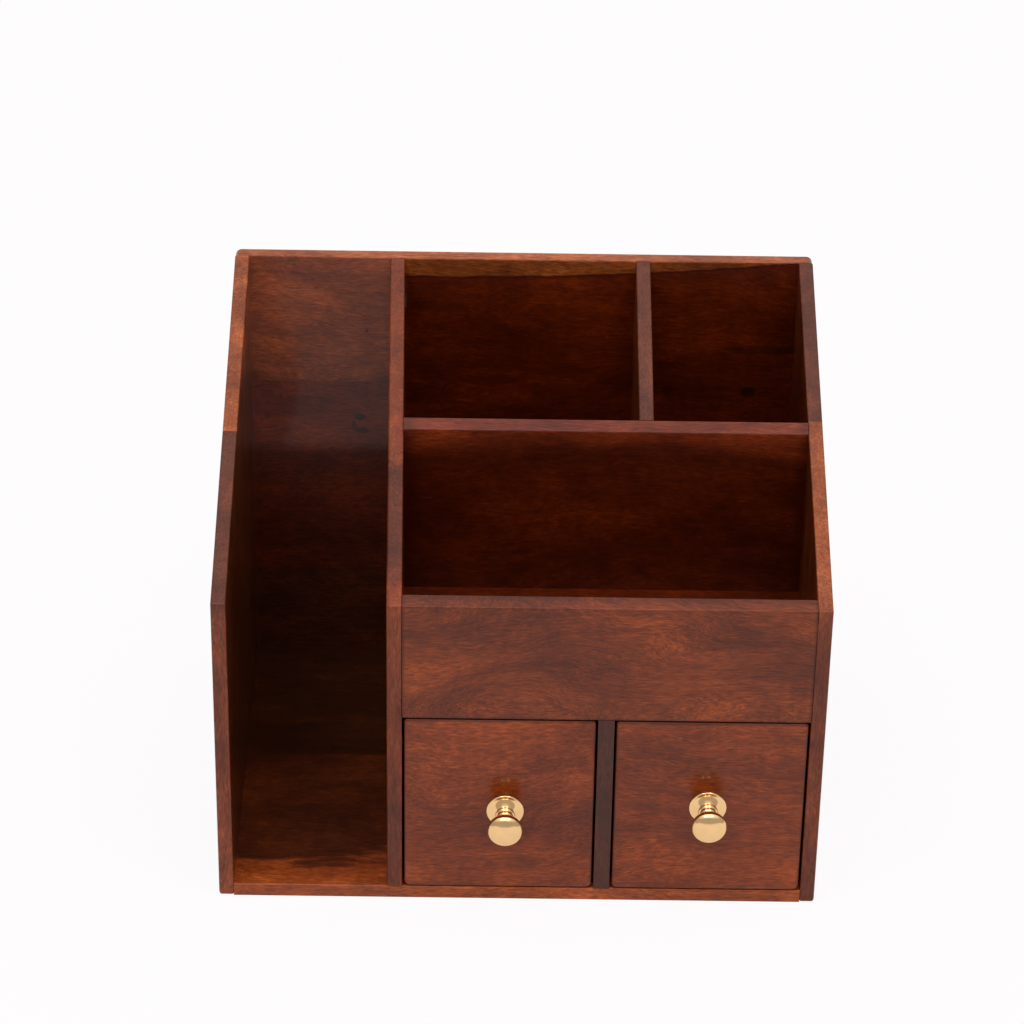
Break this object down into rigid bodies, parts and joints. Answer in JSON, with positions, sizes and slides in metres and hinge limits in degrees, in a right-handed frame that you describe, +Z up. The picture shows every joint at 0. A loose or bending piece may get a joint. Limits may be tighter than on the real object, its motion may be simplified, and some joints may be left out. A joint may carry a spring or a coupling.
{
  "type": "desk organiser with drawers",
  "caption": "Hardwood desk organiser with a letter bay, an open tray and pen compartments above drawers with turned knobs.",
  "frame": {"origin": "middle of the case's footprint, on the surface it stands on", "axes": "+X to the right of someone who faces the drawers, +Y to the back, +Z up; the drawers open along -Y"},
  "size_m": [0.305, 0.2529, 0.254],
  "materials": {
    "case_wood": "dark reddish brown, satin to gloss lacquer",
    "drawer_wood": "the same hardwood, thin satin lacquer",
    "brass": "polished and lacquered",
    "steel": "plain"
  },
  "bodies": {
    "case": {"base_front_board": "case_wood", "base_rear_board": "case_wood", "left_side_front_board": "case_wood", "left_side_rear_board": "case_wood", "right_side_front_board": "case_wood", "right_side_rear_board": "case_wood", "back_lower_board": "case_wood", "back_middle_board": "case_wood", "back_upper_board": "case_wood", "bay_divider": "case_wood", "front_apron": "case_wood", "tray_floor": "case_wood", "cross_partition": "case_wood", "pen_divider": "case_wood", "drawer_partition": "case_wood", "case_pins": "steel"},
    "left_drawer": {"left_drawer_front": "case_wood", "left_drawer_left_side": "drawer_wood", "left_drawer_right_side": "drawer_wood", "left_drawer_back": "drawer_wood", "left_drawer_bottom": "drawer_wood", "left_drawer_pins": "steel", "left_knob": "brass", "left_knob_screw": "steel"},
    "right_drawer": {"right_drawer_front": "case_wood", "right_drawer_left_side": "drawer_wood", "right_drawer_right_side": "drawer_wood", "right_drawer_back": "drawer_wood", "right_drawer_bottom": "drawer_wood", "right_drawer_pins": "steel", "right_knob": "brass", "right_knob_screw": "steel"}
  },
  "joints": [
    {"name": "left_drawer_slide", "type": "slide", "parent": "case", "child": "left_drawer", "axis": [0, -1, 0], "range_m": [0, 0.18]},
    {"name": "right_drawer_slide", "type": "slide", "parent": "case", "child": "right_drawer", "axis": [0, -1, 0], "range_m": [0, 0.18]}
  ]
}
